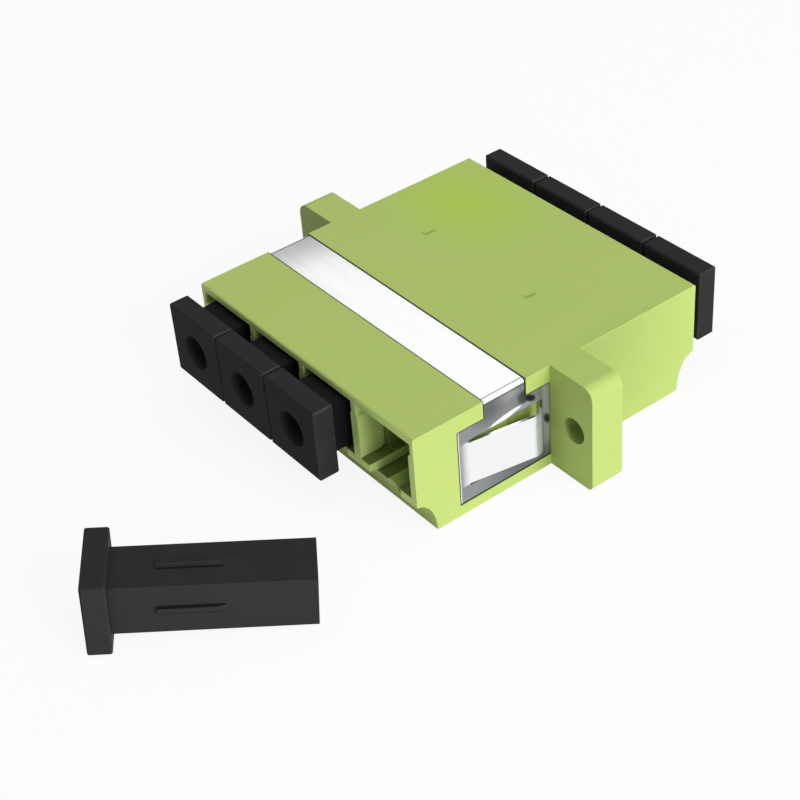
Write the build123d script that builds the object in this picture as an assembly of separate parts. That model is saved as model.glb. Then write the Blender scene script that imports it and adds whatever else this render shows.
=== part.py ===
from build123d import *
import os

# Four-way fibre adapter with a panel flange, a folded spring clip and dust caps.
# Millimetres. X runs across the four ports, -Y is the front, +Z is up.
# The origin is the centre of the two flange holes on the flange's front face.

# Housing, as wide as its row of ports with a margin at each end
PORT_COUNT = 4
PORT_PITCH = 6.25
END_MARGIN = 0.5
BODY_HEIGHT = 9.0
FRONT_DEPTH = 12.4
REAR_DEPTH = 14.5
TOP_EDGE_RADIUS = 0.18

# Flange, with an ear and a hole at each side of the body
EAR_REACH = 4.4
EAR_HOLE_REACH = 2.5
EAR_HOLE_DIAMETER = 2.1
FLANGE_THICKNESS = 2.9
FLANGE_TOP_RADIUS = 1.0
FLANGE_LOW_RADIUS = 0.5

# Finger hollow along the lower edge of both faces
HOLLOW_DEPTH = 1.66
HOLLOW_HEIGHT = 2.9

# Ports
PORT_AXIS_HEIGHT = 1.5
MOUTH_DEPTH = 2.3
MOUTH_FLOOR = -1.0
MOUTH_CEILING = 3.95
PIER_THICKNESS = 0.5
OUTER_WALL = 0.35
RIB_TOP = 2.87
RIB_DEPTH = 1.95
RIB_THICKNESS = 0.14
OUTER_RIB_THICKNESS = 0.25
GUIDE_SIZE = 4.62

# Latch slot under each port
LATCH_WIDTH = 3.6
LATCH_FLOOR = -1.85
LATCH_DEPTH = 6.6
RELEASE_WIDTH = 1.4
RELEASE_FLOOR = -3.6
CATCH_LEDGE = 3.6
CATCH_FLOOR = -3.1

# Middle wall that carries the sleeve holders, as far from the front face as from the rear
WALL_THICKNESS = 1.2

# Sleeve holders and split sleeves
SLEEVE_BORE = 1.25
SLEEVE_WALL = 0.2
SLEEVE_LENGTH = 6.8
SLEEVE_SLIT = 0.25
SLEEVE_PLAY = 0.06
HOLDER_DIAMETER = 2.9
HOLDER_LIP = 0.5
HOLDER_LIP_BORE = 1.56
HOLDER_LEAD_IN = 0.2
HOLDER_COLLAR_DIAMETER = 4.0
HOLDER_COLLAR = 0.4
HOLDER_FIT = 0.02

# Spring clip
CLIP_THICKNESS = 0.2
CLIP_SUNK = 0.04
CLIP_FIT = 0.06
BAND_WIDTH = 3.7
BAND_FRONT = -6.05
BAND_INNER_RADIUS = 0.1
BAND_FOLD_PLAY = 0.05
PLATE_FRONT = -8.48
PLATE_TOP = 2.92
PLATE_BOTTOM = -3.47
TONGUE_ROOT = -7.6
TONGUE_TOP = 1.62
TONGUE_BOTTOM = -2.04
TONGUE_LEAN = 10.4
TONGUE_STRAIGHT = 5.55
TONGUE_CURL_RADIUS = 0.9
TONGUE_CURL_ANGLE = 62.0
WINDOW_END = -0.7
WINDOW_SLIT = 0.22
POCKET_DEPTH = 0.45

# Dust caps
CAP_HEAD_GAP = 0.15
CAP_HEAD_THICKNESS = 1.7
CAP_HEAD_CHAMFER = 0.12
CAP_BODY_PLAY = 0.26
CAP_END_CLEARANCE = 0.15
CAP_HOLE_DIAMETER = 2.85
CAP_HOLE_DEPTH = 6.0
CAP_END_BORE = 3.2
CAP_END_PLAY = 0.4
CAP_RIB_PLAY = 0.05
CAP_RIB_WIDTH = 0.4
CAP_RIB_START = 3.1
CAP_RIB_LENGTH = 4.7
CAP_RIB_TAPER = 0.8
FRONT_CAP_STAND_OFF = 1.6
REAR_CAP_STAND_OFF = 1.1

# The cap that is taken off lies in front of the adapter
LOOSE_CAP_X = 5.67
LOOSE_CAP_Y = -32.72
LOOSE_CAP_TURN = 56.1

BODY_WIDTH = PORT_COUNT * PORT_PITCH + 2 * END_MARGIN
FLANGE_WIDTH = BODY_WIDTH + 2 * EAR_REACH
EAR_HOLE_PLACE = BODY_WIDTH / 2 + EAR_HOLE_REACH
FLOOR = -BODY_HEIGHT / 2
CEILING = BODY_HEIGHT / 2
FRONT_FACE = -FRONT_DEPTH
REAR_FACE = REAR_DEPTH
SIDE = BODY_WIDTH / 2
WALL_PLACE = (REAR_DEPTH - FRONT_DEPTH) / 2
PORT_DEPTH = (REAR_DEPTH + FRONT_DEPTH - WALL_THICKNESS) / 2
SLEEVE_OUTER = SLEEVE_BORE + 2 * SLEEVE_WALL
HOLDER_BORE = SLEEVE_OUTER + 2 * SLEEVE_PLAY
HOLDER_REACH = SLEEVE_LENGTH / 2 + SLEEVE_PLAY + HOLDER_LIP
CLIP_RECESS = CLIP_THICKNESS + CLIP_SUNK
BAND_REAR = BAND_FRONT + BAND_WIDTH
CAP_HEAD = PORT_PITCH - CAP_HEAD_GAP
CAP_BODY = GUIDE_SIZE - 2 * CAP_BODY_PLAY
CAP_BODY_LENGTH = PORT_DEPTH + min(FRONT_CAP_STAND_OFF, REAR_CAP_STAND_OFF) - CAP_END_CLEARANCE
CAP_RIB_HEIGHT = CAP_BODY_PLAY - CAP_RIB_PLAY


def block(x_range, y_range, z_range):
    """A box between two corners, given as a low and a high value on each axis."""
    size = [high - low for low, high in (x_range, y_range, z_range)]
    middle = [(high + low) / 2 for low, high in (x_range, y_range, z_range)]
    return Pos(*middle) * Box(*size)


def rod(radius, start, end, x=0.0, z=0.0):
    """A cylinder along Y from start to end."""
    return Pos(x, (start + end) / 2, z) * Rot(90, 0, 0) * Cylinder(radius, abs(end - start))


def port_centres():
    first = -PORT_PITCH * (PORT_COUNT - 1) / 2
    return [first + PORT_PITCH * index for index in range(PORT_COUNT)]


def mouth_sides(centre):
    """Both side walls of a port's mouth, with the rib thickness on each."""
    half = (PORT_PITCH - PIER_THICKNESS) / 2
    low, high = centre - half, centre + half
    low_rib = high_rib = RIB_THICKNESS
    if centre == port_centres()[0]:
        low, low_rib = -SIDE + OUTER_WALL, OUTER_RIB_THICKNESS
    if centre == port_centres()[-1]:
        high, high_rib = SIDE - OUTER_WALL, OUTER_RIB_THICKNESS
    return low, high, low_rib, high_rib


def port_cut(centre, face, inward):
    """The hollow of one port, from its face to the middle wall."""
    def deep(start, end):
        return tuple(sorted((face + inward * start, face + inward * end)))

    low, high, low_rib, high_rib = mouth_sides(centre)
    half_guide = GUIDE_SIZE / 2
    half_latch = LATCH_WIDTH / 2
    half_release = RELEASE_WIDTH / 2

    above_ribs = block((low, high), deep(0, MOUTH_DEPTH), (RIB_TOP, MOUTH_CEILING))
    behind_ribs = block((low, high), deep(RIB_DEPTH, MOUTH_DEPTH), (MOUTH_FLOOR, MOUTH_CEILING))
    between_ribs = block((low + low_rib, high - high_rib), deep(0, RIB_DEPTH),
                         (MOUTH_FLOOR, MOUTH_CEILING))
    guide = block((centre - half_guide, centre + half_guide), deep(MOUTH_DEPTH, PORT_DEPTH),
                  (PORT_AXIS_HEIGHT - half_guide, PORT_AXIS_HEIGHT + half_guide))
    latch = block((centre - half_latch, centre + half_latch), deep(0, LATCH_DEPTH),
                  (LATCH_FLOOR, PORT_AXIS_HEIGHT - half_guide))
    release = block((centre - half_release, centre + half_release), deep(0, LATCH_DEPTH),
                    (RELEASE_FLOOR, LATCH_FLOOR))
    catch = block((centre - half_latch, centre + half_latch), deep(CATCH_LEDGE, LATCH_DEPTH),
                  (CATCH_FLOOR, LATCH_FLOOR))
    return above_ribs + behind_ribs + between_ribs + guide + latch + release + catch


def finger_hollow(face):
    """A quarter-round hollow along the lower edge of a face, as wide as the body."""
    profile = Plane.YZ * Pos(face, FLOOR) * Ellipse(HOLLOW_DEPTH, HOLLOW_HEIGHT)
    return extrude(profile, amount=SIDE, both=True)


def clip_recess():
    """The groove over the top and the shallow recess in both side faces."""
    half_band = BAND_WIDTH / 2 + CLIP_FIT
    middle = (BAND_FRONT + BAND_REAR) / 2
    span = (middle - half_band, middle + half_band)
    over_top = block((-SIDE, SIDE), span, (CEILING - CLIP_RECESS, CEILING))
    cut = over_top
    for side in (-1, 1):
        near, far = sorted((side * (SIDE - CLIP_RECESS), side * SIDE))
        deep, out = sorted((side * (SIDE - CLIP_RECESS - POCKET_DEPTH), side * SIDE))
        cut += block((near, far), span, (PLATE_TOP, CEILING))
        cut += block((near, far), (PLATE_FRONT - CLIP_FIT, 0.0),
                     (PLATE_BOTTOM - CLIP_FIT, PLATE_TOP + CLIP_FIT))
        cut += block((deep, out), (TONGUE_ROOT, WINDOW_END),
                     (TONGUE_BOTTOM - WINDOW_SLIT, TONGUE_TOP + WINDOW_SLIT))
    return cut


def holder_seat(centre):
    """The stepped hole in the middle wall for one pair of sleeve holders."""
    half_wall = WALL_THICKNESS / 2
    front, rear = WALL_PLACE - half_wall, WALL_PLACE + half_wall
    hole = rod(HOLDER_DIAMETER / 2 + HOLDER_FIT, front, rear, centre, PORT_AXIS_HEIGHT)
    collar = HOLDER_COLLAR_DIAMETER / 2 + HOLDER_FIT
    hole += rod(collar, front, front + HOLDER_COLLAR, centre, PORT_AXIS_HEIGHT)
    hole += rod(collar, rear - HOLDER_COLLAR, rear, centre, PORT_AXIS_HEIGHT)
    return hole


def is_under_fold(edge):
    """Whether an edge of the housing lies inside one of the clip's two folds."""
    below = CEILING - CLIP_RECESS - edge.center().Z
    beside = SIDE - CLIP_RECESS - abs(edge.center().X)
    return abs(below) < CLIP_SUNK and abs(beside) < CLIP_SUNK


def make_housing():
    body = block((-SIDE, SIDE), (FRONT_FACE, REAR_FACE), (FLOOR, CEILING))
    across = body.edges().filter_by(Axis.X)
    body = fillet(across.sort_by(Axis.Z)[-2:], TOP_EDGE_RADIUS)
    flange = block((-FLANGE_WIDTH / 2, FLANGE_WIDTH / 2), (0, FLANGE_THICKNESS), (FLOOR, CEILING))
    along = flange.edges().filter_by(Axis.Y)
    flange = fillet(along.sort_by(Axis.Z)[-2:], FLANGE_TOP_RADIUS)
    along = flange.edges().filter_by(Axis.Y)
    flange = fillet(along.sort_by(Axis.Z)[:2], FLANGE_LOW_RADIUS)
    housing = body + flange
    for side in (-1, 1):
        housing -= rod(EAR_HOLE_DIAMETER / 2, 0, FLANGE_THICKNESS, side * EAR_HOLE_PLACE)
    for face in (FRONT_FACE, REAR_FACE):
        housing -= finger_hollow(face)
    housing -= clip_recess()
    under_folds = [edge for edge in housing.edges().filter_by(Axis.Y) if is_under_fold(edge)]
    housing = fillet(under_folds, BAND_INNER_RADIUS + BAND_FOLD_PLAY)
    for centre in port_centres():
        housing -= port_cut(centre, FRONT_FACE, 1)
        housing -= port_cut(centre, REAR_FACE, -1)
        housing -= holder_seat(centre)
    return housing


def side_plate(side):
    """The clip's plate on one side face, with its window and lifted tongue."""
    inner = SIDE - CLIP_RECESS
    outer = inner + CLIP_THICKNESS
    near, far = sorted((side * inner, side * outer))
    plate = block((near, far), (PLATE_FRONT, -CLIP_FIT), (PLATE_BOTTOM, PLATE_TOP))
    plate -= block((near, far), (TONGUE_ROOT, WINDOW_END),
                   (TONGUE_BOTTOM - WINDOW_SLIT, TONGUE_TOP + WINDOW_SLIT))
    return plate + tongue(side)


def tongue(side):
    """The spring tongue: it leans outward from its root and its tip curls back in."""
    middle = SIDE - CLIP_RECESS + CLIP_THICKNESS / 2
    straight = PolarLine((middle, TONGUE_ROOT - CLIP_THICKNESS / 2), TONGUE_STRAIGHT, 90 - TONGUE_LEAN)
    curl = JernArc(straight @ 1, straight % 1, TONGUE_CURL_RADIUS, TONGUE_LEAN + TONGUE_CURL_ANGLE)
    outline = trace(straight + curl, CLIP_THICKNESS)
    strip = extrude(Pos(0, 0, TONGUE_BOTTOM) * outline, amount=TONGUE_TOP - TONGUE_BOTTOM)
    return strip if side > 0 else mirror(strip, about=Plane.YZ)


def make_clip():
    """One strip of spring steel, folded over the top and down both sides."""
    top = CEILING - CLIP_SUNK
    outer = SIDE - CLIP_SUNK
    inner = outer - CLIP_THICKNESS
    band = block((-outer, outer), (BAND_FRONT, BAND_REAR), (PLATE_TOP, top))
    band = fillet(band.edges().filter_by(Axis.Y).sort_by(Axis.Z)[-2:],
                  BAND_INNER_RADIUS + CLIP_THICKNESS)
    under = block((-inner, inner), (BAND_FRONT, BAND_REAR), (PLATE_TOP, top - CLIP_THICKNESS))
    under = fillet(under.edges().filter_by(Axis.Y).sort_by(Axis.Z)[-2:], BAND_INNER_RADIUS)
    return band - under + side_plate(1) + side_plate(-1)


def make_holder(centre, way):
    """A flanged barrel pressed into the middle wall, half of a split sleeve inside."""
    def along(start, end, diameter):
        return rod(diameter / 2, WALL_PLACE + way * start, WALL_PLACE + way * end,
                   centre, PORT_AXIS_HEIGHT)

    seat = WALL_THICKNESS / 2 - HOLDER_COLLAR
    holder = along(0, HOLDER_REACH, HOLDER_DIAMETER)
    holder = chamfer(holder.edges().filter_by(GeomType.CIRCLE).sort_by(Axis.Y)[-1 if way > 0 else 0],
                     HOLDER_LEAD_IN)
    holder += along(seat, seat + HOLDER_COLLAR, HOLDER_COLLAR_DIAMETER)
    holder -= along(0, HOLDER_REACH - HOLDER_LIP, HOLDER_BORE)
    holder -= along(0, HOLDER_REACH, HOLDER_LIP_BORE)
    return holder


def make_sleeve(centre):
    """A slit ceramic sleeve that lines up the two ferrules."""
    start, end = WALL_PLACE - SLEEVE_LENGTH / 2, WALL_PLACE + SLEEVE_LENGTH / 2
    sleeve = rod(SLEEVE_OUTER / 2, start, end, centre, PORT_AXIS_HEIGHT)
    sleeve -= rod(SLEEVE_BORE / 2, start, end, centre, PORT_AXIS_HEIGHT)
    slit = block((centre - SLEEVE_SLIT / 2, centre + SLEEVE_SLIT / 2), (start, end),
                 (PORT_AXIS_HEIGHT, PORT_AXIS_HEIGHT + SLEEVE_OUTER))
    return sleeve - slit


def crush_rib():
    """A thin rib on a cap's upper side that tapers down to nothing at its end."""
    top = CAP_BODY / 2
    start, end = CAP_RIB_START, CAP_RIB_START + CAP_RIB_LENGTH
    profile = Plane.YZ * make_face(Polyline(
        (start, top - CAP_RIB_HEIGHT),
        (start, top + CAP_RIB_HEIGHT),
        (end - CAP_RIB_TAPER, top + CAP_RIB_HEIGHT),
        (end, top),
        (end, top - CAP_RIB_HEIGHT),
        close=True,
    ))
    return extrude(profile, amount=CAP_RIB_WIDTH / 2, both=True)


def make_cap():
    """A dust cap with its head's inner face at Y 0 and its body along +Y."""
    half_head, half_body = CAP_HEAD / 2, CAP_BODY / 2
    head = block((-half_head, half_head), (-CAP_HEAD_THICKNESS, 0), (-half_head, half_head))
    head = chamfer(head.edges(), CAP_HEAD_CHAMFER)
    body = block((-half_body, half_body), (-CAP_HEAD_CHAMFER, CAP_BODY_LENGTH),
                 (-half_body, half_body))
    cap = head + body
    for quarter in range(4):
        cap += Rot(0, 90 * quarter, 0) * crush_rib()
    cap -= rod(CAP_HOLE_DIAMETER / 2, -CAP_HEAD_THICKNESS, CAP_HOLE_DEPTH - CAP_HEAD_THICKNESS)
    bore_depth = HOLDER_REACH - WALL_THICKNESS / 2 + CAP_END_PLAY
    cap -= rod(CAP_END_BORE / 2, CAP_BODY_LENGTH - bore_depth, CAP_BODY_LENGTH)
    return cap


def cap_in_front_port(cap, centre):
    return Pos(centre, FRONT_FACE - FRONT_CAP_STAND_OFF, PORT_AXIS_HEIGHT) * cap


def cap_in_rear_port(cap, centre):
    return Pos(centre, REAR_FACE + REAR_CAP_STAND_OFF, PORT_AXIS_HEIGHT) * Rot(0, 0, 180) * cap


def cap_lying_down(cap):
    """The cap rests on its head's inner edge and on the end of its body."""
    step = (CAP_HEAD - CAP_BODY) / 2
    tilt = Vector(0, CAP_BODY_LENGTH, 0).get_angle(Vector(0, CAP_BODY_LENGTH, step))
    resting = Rot(-tilt, 0, 0) * cap
    turned = Rot(0, 0, LOOSE_CAP_TURN - 90) * resting
    return Pos(LOOSE_CAP_X, LOOSE_CAP_Y, FLOOR - turned.bounding_box().min.Z) * turned


def make_parts():
    cap = make_cap()
    parts = {"housing": make_housing(), "spring_clip": make_clip()}
    for number, centre in enumerate(port_centres(), start=1):
        parts[f"sleeve_holder_front_{number}"] = make_holder(centre, -1)
        parts[f"sleeve_holder_rear_{number}"] = make_holder(centre, 1)
        parts[f"split_sleeve_{number}"] = make_sleeve(centre)
        if number < PORT_COUNT:
            parts[f"dust_cap_front_{number}"] = cap_in_front_port(cap, centre)
        else:
            parts[f"dust_cap_front_{number}"] = cap_lying_down(cap)
        parts[f"dust_cap_rear_{number}"] = cap_in_rear_port(cap, centre)
    return parts


os.makedirs("parts", exist_ok=True)
for name, part in make_parts().items():
    export_step(part, f"parts/{name}.step")
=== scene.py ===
import math

import bpy
from mathutils import Matrix, Vector


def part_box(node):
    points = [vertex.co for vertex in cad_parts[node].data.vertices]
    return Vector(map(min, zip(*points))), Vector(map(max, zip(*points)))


# Looks for the four-way fibre adapter: materials, floor, light and the photograph's camera.
# The part's own frame: X across the four ports, -Y the front, +Z up. Blender works in metres, but
# places on the part are written in millimetres here.

MM = 0.001
PORT_PITCH = 6.25

# Camera, as fitted to the photograph
CAMERA_PLACE = Vector((89.182, -66.835, 80.346)) * MM
CAMERA_RIGHT = Vector((0.61662, 0.78442, -0.06682))
CAMERA_UP = Vector((-0.44894, 0.42010, 0.78865))
CAMERA_NEAR = 1.0 * MM
CAMERA_FAR = 10.0
FOCAL_PIXELS = 1792.36
IMAGE_PIXELS = 800
SENSOR_WIDTH = 36.0

# Light, in units at which a white surface that faces one lamp of level 1 renders white
SKY_LEVEL = 0.22
LAMPS = {
    "right_softbox": {"towards": (0.93, 0.12, 0.35), "level": 0.95, "size": 0.45},
    "top_softbox": {"towards": (0.10, 0.10, 0.98), "level": 0.43, "size": 0.60},
}
LAMP_DISTANCE = 0.6
FLOOR_WIDTH = 4.0
FLOOR_COLOUR = (0.95, 0.95, 0.95, 1.0)
FLOOR_WHITENESS = 0.90
WHITE = (1.0, 1.0, 1.0, 1.0)
# Metal sees a grey wall below this height of the sky and white above it
HORIZON_GREY = 0.45
HORIZON_EDGE = (0.515, 0.55)

# Base colours, linear
GREEN = (0.455, 0.590, 0.160, 1.0)
GREEN_WARM = (0.430, 0.570, 0.135, 1.0)
GREEN_VIVID = (0.435, 0.640, 0.075, 1.0)
GREEN_MARK = (0.285, 0.400, 0.050, 1.0)
# Painted shade deep inside the ports
GREEN_PORT_SHADE = (0.200, 0.260, 0.070, 1.0)
# Painted light on the port mouths, the slot walls and the clip pockets
GREEN_LIT = (0.640, 0.820, 0.270, 1.0)
GREEN_SHADE = (0.300, 0.400, 0.110, 1.0)
# Painted shade in the gaps round the clip
GREEN_GAP_SHADE = (0.060, 0.080, 0.020, 1.0)
BLACK = (0.0260, 0.0260, 0.0268, 1.0)
BLACK_WORN = (0.0300, 0.0300, 0.0310, 1.0)
# Painted shade on the caps' faces that point to the front
BLACK_FRONT_SHADE = (0.0140, 0.0140, 0.0145, 1.0)
# Painted highlight on the seams between cap heads and on the loose cap's upper rib
BLACK_HIGHLIGHT = (0.0420, 0.0420, 0.0430, 1.0)
# Painted light on the loose cap's side that faces the right
BLACK_LIT_SIDE = (0.0350, 0.0350, 0.0360, 1.0)
BLACK_SHADE = (0.0070, 0.0070, 0.0075, 1.0)
# Painted shade on the cap bodies inside the ports
BLACK_INSIDE_SHADE = (0.0110, 0.0110, 0.0115, 1.0)
# Painted light inside the holes in the cap heads
BLACK_HOLE_LIGHT = (0.0360, 0.0360, 0.0370, 1.0)
STEEL = (0.985, 0.99, 0.995, 1.0)
STEEL_TONGUE = (0.915, 0.925, 0.935, 1.0)
STEEL_SHADE = (0.62, 0.62, 0.62, 1.0)
STEEL_DULL = (0.215, 0.22, 0.23, 1.0)
# Painted pale reflection on the clip's plates
STEEL_PALE_REFLECTION = (0.40, 0.405, 0.415, 1.0)
# Painted dark reflection on the clip's plates
STEEL_DARK_REFLECTION = (0.10, 0.10, 0.11, 1.0)
# Painted black reflections on the clip's plates, and painted shade lines at its folds
STEEL_BLACK_REFLECTION_AND_SHADE = (0.010, 0.010, 0.012, 1.0)
HOLDER_GREY = (0.52, 0.54, 0.55, 1.0)
HOLDER_GREY_DARK = (0.46, 0.48, 0.49, 1.0)
CERAMIC = (0.86, 0.85, 0.82, 1.0)
CERAMIC_DARK = (0.80, 0.79, 0.76, 1.0)

# Noise patterns: scale in cells per metre, octaves of detail, and stretch along each axis
NOISES = {
    "fine_grain": {"scale": 9000.0, "detail": 2.0},
    "mould_flow": {"scale": 260.0, "detail": 3.0, "stretch": (1.0, 0.35, 1.0)},
    "cap_grain": {"scale": 7000.0, "detail": 3.0},
    "cap_wear": {"scale": 400.0, "detail": 4.0},
    "brushed": {"scale": 2500.0, "detail": 3.0, "stretch": (0.06, 1.0, 0.06)},
    "clouds": {"scale": 700.0, "detail": 3.0},
}
# The part of each pattern's range over which a tint or the roughness changes
FLOW_RANGE = (0.45, 0.80)
WEAR_RANGE = (0.45, 0.75)
CLOUD_RANGE = (0.4, 0.7)
GRAIN_RANGE = (0.2, 0.8)
BRUSH_RANGE = (0.3, 0.7)
FLOW_STRENGTH = 0.35

# Bumps: depth in millimetres and strength
HOUSING_BUMP = (0.03, 0.6)
HOUSING_GRAIN_SHARE = 0.12
CAP_BUMP = (0.008, 0.4)
STEEL_BUMP = (0.002, 0.15)
FINE_BUMP = (0.004, 0.4)

# Roughness at the grain's valleys and at its tops, and how strongly each plastic mirrors
PLASTIC_ROUGHNESS = (0.50, 0.62)
HOUSING_SPECULAR = 0.22
CAP_SPECULAR = 0.03

# Steel from dull to polished, and what its brush lines add to the roughness
STEEL_METALLIC = (0.25, 1.0)
STEEL_ROUGHNESS = (0.30, 0.07)
BRUSH_ROUGHNESS = (0.0, 0.04)
FULL_POLISH = 0.8

# A blob reaches this far in X where only its Y and Z matter
ANY_X = 100.0

# A more vivid green place on the top face
VIVID_PATCH = {"centre": (-8.0, 9.4, 4.5), "size": (9.0, 6.5, 2.5), "strength": 0.85}

# A soft shade on both side faces behind the ears
CORNER_SHADE = {"centre": (0.0, 2.9, 3.0), "size": (ANY_X, 12.0, 15.0), "strength": 0.85}
CORNER_BOXES = [
    ((-13.1, -12.94), (2.8, 17.4), (-4.6, 4.33)),
    ((12.94, 13.1), (2.8, 17.4), (-4.6, 4.33)),
]
CORNER_EDGE = 0.2

# The two small moulded strokes on the top face, each with a short foot: centre and length
MARKS = [((-6.38, 4.82), 1.04), ((5.62, 4.72), 0.96)]
MARK_WIDTH = 0.27
MARK_FOOT_REACH = 1.5
MARK_FOOT_WIDTH = 0.14
MARK_STRENGTH = 0.8
TOP_SKIN = (4.4, 4.6)

# Where the housing has painted shade or painted light. Each box is a low and a high value per axis.
# Painted light on the front and rear ends round the port mouths
END_LIGHT_BOXES = [
    ((-12.95, 12.95), (-12.5, -10.16), (-1.6, 4.4)),
    ((-12.95, 12.95), (12.26, 14.6), (-1.6, 4.4)),
]
# Painted shade deep inside the ports and on their floors
PORT_SHADE_BOXES = [
    ((-12.2, 12.2), (-10.13, 12.23), (-1.0, 4.05)),
    ((-12.6, 12.6), (-12.36, -10.0), (-1.1, -0.9)),
    ((-12.6, 12.6), (-12.36, -5.8), (-1.95, -1.8)),
    ((-12.6, 12.6), (12.1, 14.46), (-1.1, -0.9)),
    ((-12.6, 12.6), (7.9, 14.46), (-1.95, -1.8)),
]
# Painted light on the slot walls in the ports
SLOT_LIGHT_BOXES = [
    ((-12.6, 12.6), (-12.36, -5.8), (-1.77, -1.03)),
    ((-12.6, 12.6), (7.9, 14.46), (-1.77, -1.03)),
]
SHADE_BOXES = [
    ((-17.5, -13.0), (-0.05, 0.05), (-4.6, 4.6)),
    ((14.4, 16.6), (0.05, 2.85), (-1.1, 1.1)),
    ((-16.6, -14.4), (0.05, 2.85), (-1.1, 1.1)),
]
# Painted light in the pocket behind each clip tongue
POCKET_LIGHT_BOXES = [
    ((12.2, 12.5), (-7.7, -3.5), (-2.4, 2.0)),
    ((-12.5, -12.2), (-7.7, -3.5), (-2.4, 2.0)),
]
# Painted shade in the gaps round the clip
GAP_SHADE_BOXES = [
    ((12.7, 13.1), (-8.59, -0.03), (-3.58, 3.03)),
    ((-13.1, -12.7), (-8.59, -0.03), (-3.58, 3.03)),
    ((-13.1, 13.1), (-6.16, -2.24), (4.2, 4.6)),
    ((12.7, 13.1), (-6.16, -2.24), (3.0, 4.6)),
    ((-13.1, -12.7), (-6.16, -2.24), (3.0, 4.6)),
]
HOUSING_TINTS = [
    (END_LIGHT_BOXES, GREEN_LIT),
    (PORT_SHADE_BOXES, GREEN_PORT_SHADE),
    (SLOT_LIGHT_BOXES, GREEN_LIT),
    (SHADE_BOXES, GREEN_SHADE),
    (POCKET_LIGHT_BOXES, GREEN_LIT),
    (GAP_SHADE_BOXES, GREEN_GAP_SHADE),
]
MASK_EDGE = 0.03

# Spans of a cap face's direction: to the front, to the right, and slanting as a chamfer does
FACES_FRONT = (-0.98, -0.90)
FACES_RIGHT = (0.7, 0.8)
SLANT_STARTS = (0.3, 0.5)
SLANT_ENDS = (0.75, 0.9)
# The chamfers get a painted highlight at the seams between neighbouring cap heads, up to here from each
# seam
SEAM_WIDTH = (0.2, 0.25)
# Painted shade on each fitted cap's body and painted light in the hole in its head, with X counted from
# the nearest seam
CAP_BODY_SHADE_BOXES = [
    ((0.8, 3.2), (-13.97, -9.0), (-0.8, 3.9)),
    ((0.8, 3.2), (11.0, 15.57), (-0.8, 3.9)),
]
CAP_HOLE_LIGHT_BOXES = [
    ((1.68, 3.2), (-15.66, -9.6), (0.05, 2.95)),
    ((1.68, 3.2), (11.2, 17.26), (0.05, 2.95)),
]

# The rear caps are behind this range of Y
REAR_CAPS = (0.0, 1.0)
# The cap that lies in front: all of it is in front of this range of Y
LYING_LIMIT = (-17.0, -16.5)
# Where its head's inner face is, how it is turned in degrees, and the light on its upper rib and
# the shades beside both visible ribs, in its own frame
LOOSE_CAP_PLACE = (5.67, -32.72, -1.46)
LOOSE_CAP_TURN = (-4.14, 0.0, -33.9)
RIB_LIGHTS = [
    ((0.10, 0.15), (3.1, 7.6), (2.2, 2.4)),
]
RIB_SHADES = [
    ((0.26, 0.38), (3.1, 7.6), (1.9, 2.4)),
    ((1.9, 2.4), (3.1, 7.6), (0.22, 0.28)),
    ((1.9, 2.4), (3.1, 7.6), (-0.42, -0.38)),
]
RIB_SHADE_EDGE = 0.06
RIB_SHADE_STRENGTH = 0.8

# The clip's bright parts: the band above a height, and the tongues inside a rise and a fall
BAND_RISE = (4.1, 4.3)
TONGUE_ALONG = ((-8.45, -7.5), (-2.45, -1.85))
TONGUE_TALL = ((-2.2, -2.05), (1.63, 1.78))
# The band's left end, which is in shade
LEFT_END = (-12.6, -8.0)
# Painted dark reflection: the plates are darker low down and towards the flange
PLATE_LOW = (-2.6, -2.1)
PLATE_REAR = (-7.5, -2.5)
# The narrow part between the band and each plate, which has a painted dark reflection
NECK = {"centre": (0.0, -5.7, 3.5), "size": (ANY_X, 2.3, 1.9)}
NECK_BLOB = 0.9
# A painted highlight along the plates' front edge
FRONT_EDGE_HIGHLIGHT = {"place": -8.44, "width": 0.08, "strength": 0.7}

# Painted black reflections, painted glints and painted pale reflections on the clip's plates:
# centre and half-size in Y and Z, turn in degrees, strength
STEEL_PALE_REFLECTION_PLACES = [
    ((-2.2, 2.15), (1.3, 0.35), 5.0, 1.0),
    ((-0.35, 1.0), (0.5, 5.5), 0.0, 0.8),
    ((-1.5, -0.2), (0.9, 3.5), 0.0, 1.0),
    ((-4.0, 3.9), (1.5, 0.8), 0.0, 0.5),
]
STEEL_BLACK_REFLECTION_PLACES = [
    ((-2.45, 2.95), (0.75, 0.85), 0.0, 0.75),
    ((-1.80, 2.50), (0.80, 0.40), -35.0, 1.0),
    ((-0.32, -0.10), (0.38, 0.70), 20.0, 0.95),
]
STEEL_GLINTS = [
    ((-4.15, 2.06), (1.80, 0.27), 9.0, 1.0),
]
# How far up its blob a place has its full tint
SOFT_BLOB = 0.6
SHARP_BLOB = 0.35

# Where the clip folds from the band to the plates: a painted shade line on each side of the fold
FOLD_START = (12.60, 12.68)
FOLD_LINES = {"top": 12.66, "side": 4.10}
FOLD_LINE_WIDTH = 0.10
FOLD_LINE_STRENGTH = 0.75


def in_metres(values):
    return [value * MM for value in values]


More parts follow.
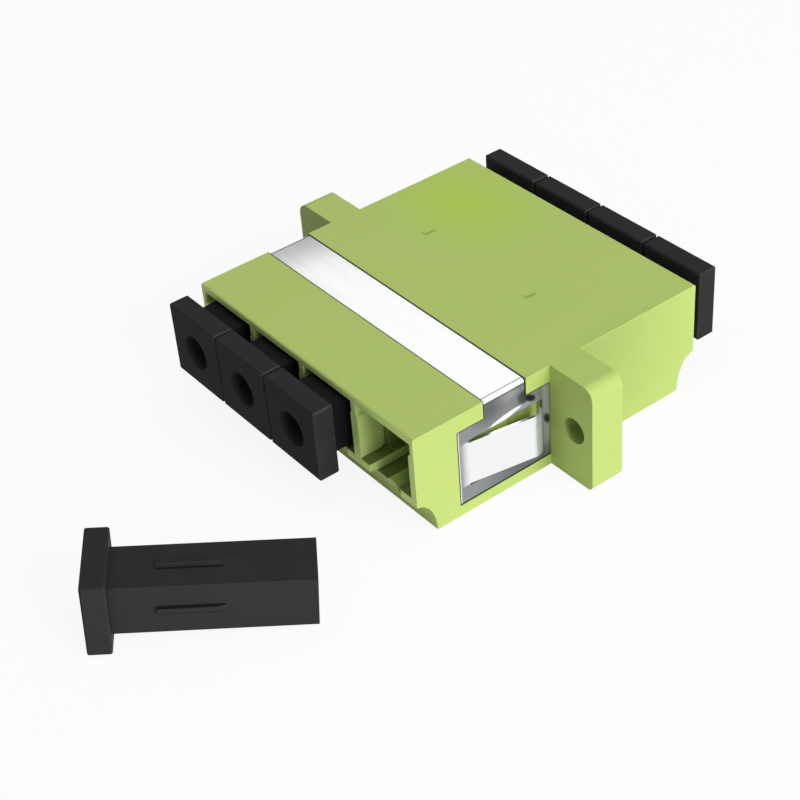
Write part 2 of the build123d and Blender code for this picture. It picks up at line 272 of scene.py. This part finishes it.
class Nodes:
    """A material's node tree, with short calls for the nodes that the looks use."""

    SHADER_INPUTS = {
        "colour": "Base Color",
        "roughness": "Roughness",
        "metallic": "Metallic",
        "specular": "Specular IOR Level",
    }
    # The mix node has sockets for each data type, so the colour ones are found by number
    MIX_FACTOR, MIX_FIRST, MIX_SECOND, MIX_RESULT = 0, 6, 7, 2

    def __init__(self, name):
        self.material = bpy.data.materials.new(name)
        self.material.use_nodes = True
        self.tree = self.material.node_tree
        self.shader = self.tree.nodes["Principled BSDF"]
        self.coordinates = self.add("ShaderNodeTexCoord").outputs["Object"]

    def add(self, kind, **inputs):
        node = self.tree.nodes.new(kind)
        for name, value in inputs.items():
            self.put(node.inputs[name], value)
        return node

    def put(self, socket, value):
        """Link a socket to another one, or give it a constant."""
        if isinstance(value, bpy.types.NodeSocket):
            self.tree.links.new(value, socket)
        else:
            socket.default_value = value

    def set(self, **values):
        for name, value in values.items():
            self.put(self.shader.inputs[self.SHADER_INPUTS[name]], value)

    def axes(self, coordinates=None):
        node = self.add("ShaderNodeSeparateXYZ", Vector=coordinates or self.coordinates)
        return node.outputs

    def own_frame(self, place, size=(1.0, 1.0, 1.0), turn=(0.0, 0.0, 0.0)):
        """Coordinates from a place, in units of size, turned in degrees."""
        mapping = self.add("ShaderNodeMapping", Vector=self.coordinates, Location=in_metres(place),
                           Scale=size, Rotation=[math.radians(angle) for angle in turn])
        mapping.vector_type = "TEXTURE"
        return mapping.outputs[0]

    def noise(self, name):
        """One of the noise patterns listed above, from 0 to 1."""
        pattern = NOISES[name]
        stretch = pattern.get("stretch", (1.0, 1.0, 1.0))
        mapping = self.add("ShaderNodeMapping", Vector=self.coordinates, Scale=stretch)
        texture = self.add("ShaderNodeTexNoise", Vector=mapping.outputs[0],
                           Scale=pattern["scale"], Detail=pattern["detail"])
        return texture.outputs["Fac"]

    def math(self, operation, *values):
        node = self.add("ShaderNodeMath")
        node.operation = operation
        for index, value in enumerate(values):
            self.put(node.inputs[index], value)
        return node.outputs[0]

    def times(self, first, second):
        return self.math("MULTIPLY", first, second)

    def ramp(self, value, span, results=(0.0, 1.0)):
        """A smooth step: the first result before a span of value, the second one after it."""
        node = self.add("ShaderNodeMapRange")
        node.interpolation_type = "SMOOTHSTEP"
        for name, given in (("Value", value), ("From Min", span[0]), ("From Max", span[1]),
                            ("To Min", results[0]), ("To Max", results[1])):
            self.put(node.inputs[name], given)
        return node.outputs[0]

    def rise(self, value, span):
        """0 before a span in millimetres and 1 after it."""
        return self.ramp(value, in_metres(span))

    def fall(self, value, span):
        """1 before a span in millimetres and 0 after it."""
        return self.ramp(value, in_metres(span), (1.0, 0.0))

    def mix(self, factor, first, second):
        node = self.add("ShaderNodeMix")
        node.data_type = "RGBA"
        self.put(node.inputs[self.MIX_FACTOR], factor)
        self.put(node.inputs[self.MIX_FIRST], first)
        self.put(node.inputs[self.MIX_SECOND], second)
        return node.outputs[self.MIX_RESULT]

    def blob(self, centre, size, turn=0.0):
        """1 at a place, falling to 0 at an ellipsoid around it. Millimetres, turned about X."""
        place = self.own_frame(centre, in_metres(size), (turn, 0.0, 0.0))
        texture = self.add("ShaderNodeTexGradient", Vector=place)
        texture.gradient_type = "SPHERICAL"
        return texture.outputs["Fac"]

    def stripe(self, value, centre, width):
        """1 on a thin line across a value's axis. Millimetres."""
        return self.times(self.rise(value, (centre - width, centre)),
                          self.fall(value, (centre, centre + width)))

    def inside(self, box, edge, axes):
        """1 inside a box given as a low and a high value on each axis. Millimetres."""
        product = 1.0
        for value, (low, high) in zip(axes, box):
            both = self.times(self.rise(value, (low - edge, low)),
                              self.fall(value, (high, high + edge)))
            product = self.times(product, both)
        return product

    def within_any(self, boxes, edge=MASK_EDGE, axes=None):
        axes = axes or self.axes()
        highest = 0.0
        for box in boxes:
            highest = self.math("MAXIMUM", highest, self.inside(box, edge, axes))
        return highest

    def bump(self, height, size):
        """Bump of a given depth in millimetres and strength."""
        depth, strength = size
        node = self.add("ShaderNodeBump", Height=height, Distance=depth * MM, Strength=strength)
        self.put(self.shader.inputs["Normal"], node.outputs[0])


def mark_boxes():
    """Each moulded stroke on the top face, and the short foot at its front end."""
    boxes = []
    for (x, y), length in MARKS:
        start, end = y - length / 2, y + length / 2
        boxes.append(((x - MARK_WIDTH / 2, x + MARK_WIDTH / 2), (start, end), TOP_SKIN))
        boxes.append(((x - MARK_FOOT_REACH * MARK_WIDTH, x), (start, start + MARK_FOOT_WIDTH), TOP_SKIN))
    return boxes


def housing_material():
    nodes = Nodes("housing_plastic_look")
    grain = nodes.noise("fine_grain")
    flow = nodes.ramp(nodes.noise("mould_flow"), FLOW_RANGE)
    colour = nodes.mix(nodes.times(flow, FLOW_STRENGTH), GREEN, GREEN_WARM)
    vivid_patch = nodes.blob(VIVID_PATCH["centre"], VIVID_PATCH["size"])
    colour = nodes.mix(nodes.times(vivid_patch, VIVID_PATCH["strength"]), colour, GREEN_VIVID)
    corner = nodes.blob(CORNER_SHADE["centre"], CORNER_SHADE["size"])
    corner = nodes.times(corner, nodes.within_any(CORNER_BOXES, CORNER_EDGE))
    colour = nodes.mix(nodes.times(corner, CORNER_SHADE["strength"]), colour, GREEN_SHADE)
    strokes = nodes.within_any(mark_boxes())
    colour = nodes.mix(nodes.times(strokes, MARK_STRENGTH), colour, GREEN_MARK)
    # Painted light and painted shade in the listed boxes
    for boxes, tint in HOUSING_TINTS:
        colour = nodes.mix(nodes.within_any(boxes), colour, tint)
    nodes.bump(nodes.math("SUBTRACT", nodes.times(grain, HOUSING_GRAIN_SHARE), strokes), HOUSING_BUMP)
    nodes.set(colour=colour, roughness=nodes.ramp(grain, GRAIN_RANGE, PLASTIC_ROUGHNESS),
              specular=HOUSING_SPECULAR)
    return nodes.material


def cap_material():
    """Black plastic, with painted shade and painted light on some faces, chamfers, ribs, bodies and
    holes.
    """
    nodes = Nodes("cap_plastic_look")
    grain = nodes.noise("cap_grain")
    colour = nodes.mix(nodes.ramp(nodes.noise("cap_wear"), WEAR_RANGE), BLACK, BLACK_WORN)
    facing = nodes.axes(nodes.add("ShaderNodeNewGeometry").outputs["Normal"])
    x, y, z = nodes.axes()
    # Painted shade on faces that point to the front, and painted light on those of the rear caps
    front_light_and_shade = nodes.mix(nodes.rise(y, REAR_CAPS), BLACK_FRONT_SHADE, BLACK_LIT_SIDE)
    colour = nodes.mix(nodes.ramp(facing[1], FACES_FRONT, (1.0, 0.0)), colour, front_light_and_shade)
    fitted = nodes.rise(y, LYING_LIMIT)
    lying = nodes.math("SUBTRACT", 1.0, fitted)
    across = nodes.math("ABSOLUTE", facing[0])
    slanting = nodes.times(nodes.ramp(across, SLANT_STARTS), nodes.ramp(across, SLANT_ENDS, (1.0, 0.0)))
    from_seam = nodes.math("PINGPONG", x, PORT_PITCH / 2 * MM)
    at_seam = nodes.times(nodes.fall(from_seam, SEAM_WIDTH), fitted)
    # Painted highlight on the chamfers at the seams
    colour = nodes.mix(nodes.times(at_seam, slanting), colour, BLACK_HIGHLIGHT)
    lit_side = nodes.times(nodes.ramp(facing[0], FACES_RIGHT), lying)
    colour = nodes.mix(lit_side, colour, BLACK_LIT_SIDE)
    port_axes = (from_seam, y, z)
    # Painted shade on the cap bodies inside the ports
    colour = nodes.mix(nodes.within_any(CAP_BODY_SHADE_BOXES, axes=port_axes), colour, BLACK_INSIDE_SHADE)
    # Painted light in the holes in the cap heads
    colour = nodes.mix(nodes.within_any(CAP_HOLE_LIGHT_BOXES, axes=port_axes), colour, BLACK_HOLE_LIGHT)

    own_axes = nodes.axes(nodes.own_frame(LOOSE_CAP_PLACE, turn=LOOSE_CAP_TURN))
    colour = nodes.mix(nodes.within_any(RIB_LIGHTS, axes=own_axes), colour, BLACK_HIGHLIGHT)
    shades = nodes.within_any(RIB_SHADES, RIB_SHADE_EDGE, own_axes)
    colour = nodes.mix(nodes.times(shades, RIB_SHADE_STRENGTH), colour, BLACK_SHADE)
    nodes.bump(grain, CAP_BUMP)
    nodes.set(colour=colour, roughness=nodes.ramp(grain, GRAIN_RANGE, PLASTIC_ROUGHNESS),
              specular=CAP_SPECULAR)
    return nodes.material


def steel_material():
    """Spring steel: polished on the band and the tongues, dull on the plates, with painted reflections
    and highlights on the plates and painted shade lines at the folds.
    """
    nodes = Nodes("clip_steel_look")
    x, y, z = nodes.axes()
    brushed = nodes.noise("brushed")
    on_band = nodes.rise(z, BAND_RISE)
    along = nodes.times(nodes.rise(y, TONGUE_ALONG[0]), nodes.fall(y, TONGUE_ALONG[1]))
    tall = nodes.times(nodes.rise(z, TONGUE_TALL[0]), nodes.fall(z, TONGUE_TALL[1]))
    bright = nodes.math("MAXIMUM", on_band, nodes.times(along, tall))

    # Painted dark reflection low on the plates, towards the flange
    low = nodes.times(nodes.fall(z, PLATE_LOW), nodes.rise(y, PLATE_REAR))
    colour = nodes.mix(low, STEEL_DULL, STEEL_DARK_REFLECTION)
    # Painted pale reflections on the plates
    colour = add_places(nodes, colour, STEEL_PALE_REFLECTION_PLACES, SOFT_BLOB, STEEL_PALE_REFLECTION)
    # Painted dark reflection at the neck
    neck = nodes.blob(NECK["centre"], NECK["size"])
    colour = nodes.mix(nodes.ramp(neck, (0.0, NECK_BLOB)), colour, STEEL_DARK_REFLECTION)
    # Painted black reflections on the plates
    colour = add_places(nodes, colour, STEEL_BLACK_REFLECTION_PLACES, SOFT_BLOB, STEEL_BLACK_REFLECTION_AND_SHADE)
    colour = add_places(nodes, colour, STEEL_GLINTS, SHARP_BLOB, STEEL)
    # Painted highlight along the plates' front edge
    front_highlight = nodes.stripe(y, FRONT_EDGE_HIGHLIGHT["place"], FRONT_EDGE_HIGHLIGHT["width"])
    colour = nodes.mix(nodes.times(front_highlight, FRONT_EDGE_HIGHLIGHT["strength"]), colour, STEEL)

    polished = nodes.mix(on_band, STEEL_TONGUE, STEEL)
    left_end = nodes.times(on_band, nodes.fall(x, LEFT_END))
    polished = nodes.mix(left_end, polished, STEEL_SHADE)
    colour = nodes.mix(bright, colour, polished)

    outward = nodes.math("ABSOLUTE", x)
    # Painted shade lines on both sides of each fold
    line_on_top = nodes.stripe(outward, FOLD_LINES["top"], FOLD_LINE_WIDTH)
    line_on_side = nodes.stripe(z, FOLD_LINES["side"], FOLD_LINE_WIDTH)
    lines = nodes.math("MAXIMUM", nodes.times(line_on_top, on_band), line_on_side)
    colour = nodes.mix(nodes.times(lines, FOLD_LINE_STRENGTH), colour, STEEL_BLACK_REFLECTION_AND_SHADE)

    nodes.bump(brushed, STEEL_BUMP)
    in_fold = nodes.times(nodes.rise(outward, FOLD_START), on_band)
    polish = nodes.times(bright, nodes.math("SUBTRACT", 1.0, in_fold))
    roughness = nodes.math("ADD", nodes.ramp(polish, (0.0, FULL_POLISH), STEEL_ROUGHNESS),
                           nodes.ramp(brushed, BRUSH_RANGE, BRUSH_ROUGHNESS))
    nodes.set(colour=colour, metallic=nodes.ramp(polish, (0.0, 1.0), STEEL_METALLIC),
              roughness=roughness)
    return nodes.material


def add_places(nodes, colour, places, full_from, tint):
    """Tint the given places of both plates, in full where a blob is above full_from."""
    for centre, size, turn, strength in places:
        blob = nodes.blob((0.0, *centre), (ANY_X, *size), turn)
        share = nodes.times(nodes.ramp(blob, (0.0, full_from)), strength)
        colour = nodes.mix(share, colour, tint)
    return colour


def fine_material(name, light, dark, roughness, specular):
    """A plain fine-grained surface for the small parts inside the ports."""
    nodes = Nodes(name)
    cloud = nodes.ramp(nodes.noise("clouds"), CLOUD_RANGE)
    nodes.bump(nodes.noise("fine_grain"), FINE_BUMP)
    nodes.set(colour=nodes.mix(cloud, light, dark), roughness=roughness, specular=specular)
    return nodes.material


def dress(frame):
    looks = {
        "housing": housing_material(),
        "spring_clip": steel_material(),
        "dust_cap": cap_material(),
        "sleeve_holder": fine_material("holder_plastic_look", HOLDER_GREY, HOLDER_GREY_DARK, 0.5, 0.35),
        "split_sleeve": fine_material("sleeve_ceramic_look", CERAMIC, CERAMIC_DARK, 0.22, 0.5),
    }
    for name, node in frame["nodes"].items():
        kind = next(kind for kind in looks if name.startswith(kind))
        node.data.materials.clear()
        node.data.materials.append(looks[kind])


def level_for(tree, is_such_ray, level, otherwise):
    """level for one kind of ray, and another level for the rest."""
    mix = tree.nodes.new("ShaderNodeMix")
    tree.links.new(is_such_ray, mix.inputs["Factor"])
    for name, value in (("A", otherwise), ("B", level)):
        if isinstance(value, bpy.types.NodeSocket):
            tree.links.new(value, mix.inputs[name])
        else:
            mix.inputs[name].default_value = value
    return mix.outputs["Result"]


def make_floor():
    """A pale floor under the housing, which takes the object's shadow."""
    low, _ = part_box("housing")
    bpy.ops.mesh.primitive_plane_add(size=FLOOR_WIDTH, location=(0.0, 0.0, low.z))
    floor = bpy.context.object
    floor.name = "floor"
    material = bpy.data.materials.new("floor_look")
    material.use_nodes = True
    tree = material.node_tree
    tree.nodes.clear()
    output = tree.nodes.new("ShaderNodeOutputMaterial")
    mix = tree.nodes.new("ShaderNodeMixShader")
    diffuse = tree.nodes.new("ShaderNodeBsdfDiffuse")
    glow = tree.nodes.new("ShaderNodeEmission")
    diffuse.inputs["Color"].default_value = FLOOR_COLOUR
    tree.links.new(share_seen(tree, FLOOR_WHITENESS), mix.inputs[0])
    tree.links.new(diffuse.outputs[0], mix.inputs[1])
    tree.links.new(glow.outputs[0], mix.inputs[2])
    tree.links.new(mix.outputs[0], output.inputs["Surface"])
    floor.data.materials.append(material)


def share_seen(tree, level):
    """level for what the camera, a reflection or glass sees, and 0 for the light on things."""
    path = tree.nodes.new("ShaderNodeLightPath")
    share = 0.0
    for name in ("Is Camera Ray", "Is Glossy Ray", "Is Transmission Ray"):
        share = level_for(tree, path.outputs[name], level, share)
    return share


def make_world():
    """White for the camera, white with a grey wall for metal, and a plain level for the light."""
    world = bpy.data.worlds.new("studio")
    bpy.context.scene.world = world
    world.use_nodes = True
    tree = world.node_tree
    background = tree.nodes["Background"]
    background.inputs["Color"].default_value = WHITE
    axes = tree.nodes.new("ShaderNodeSeparateXYZ")
    tree.links.new(tree.nodes.new("ShaderNodeTexCoord").outputs["Generated"], axes.inputs[0])
    wall = tree.nodes.new("ShaderNodeMapRange")
    wall.interpolation_type = "SMOOTHSTEP"
    tree.links.new(axes.outputs["Z"], wall.inputs["Value"])
    wall.inputs["From Min"].default_value, wall.inputs["From Max"].default_value = HORIZON_EDGE
    wall.inputs["To Min"].default_value = HORIZON_GREY
    path = tree.nodes.new("ShaderNodeLightPath")
    strength = level_for(tree, path.outputs["Is Glossy Ray"], wall.outputs[0], SKY_LEVEL)
    strength = level_for(tree, path.outputs["Is Camera Ray"], 1.0, strength)
    strength = level_for(tree, path.outputs["Is Transmission Ray"], 1.0, strength)
    tree.links.new(strength, background.inputs["Strength"])


def make_lamps():
    for name, lamp in LAMPS.items():
        data = bpy.data.lights.new(name, "AREA")
        data.size = lamp["size"]
        data.energy = lamp["level"] * (math.pi * LAMP_DISTANCE) ** 2
        towards = Vector(lamp["towards"]).normalized()
        light = bpy.data.objects.new(name, data)
        light.location = towards * LAMP_DISTANCE
        light.rotation_euler = towards.to_track_quat("Z", "Y").to_euler()
        bpy.context.scene.collection.objects.link(light)


def make_camera():
    data = bpy.data.cameras.new("camera")
    data.sensor_width = SENSOR_WIDTH
    data.lens = FOCAL_PIXELS / IMAGE_PIXELS * SENSOR_WIDTH
    data.clip_start = CAMERA_NEAR
    data.clip_end = CAMERA_FAR
    camera = bpy.data.objects.new("camera", data)
    back = CAMERA_RIGHT.cross(CAMERA_UP)
    turn = Matrix((CAMERA_RIGHT, CAMERA_UP, back)).transposed()
    camera.matrix_world = Matrix.Translation(CAMERA_PLACE) @ turn.to_4x4()
    bpy.context.scene.collection.objects.link(camera)
    bpy.context.scene.camera = camera


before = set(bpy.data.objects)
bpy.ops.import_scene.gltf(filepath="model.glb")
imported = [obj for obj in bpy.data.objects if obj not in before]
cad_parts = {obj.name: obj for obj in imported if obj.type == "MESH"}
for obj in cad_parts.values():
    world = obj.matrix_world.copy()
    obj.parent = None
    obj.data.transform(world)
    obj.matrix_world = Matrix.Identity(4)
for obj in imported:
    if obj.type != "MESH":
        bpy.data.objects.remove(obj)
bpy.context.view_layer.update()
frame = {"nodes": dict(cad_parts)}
bpy.context.scene.view_settings.view_transform = "Standard"
dress(frame)
make_floor()
make_world()
make_lamps()
make_camera()
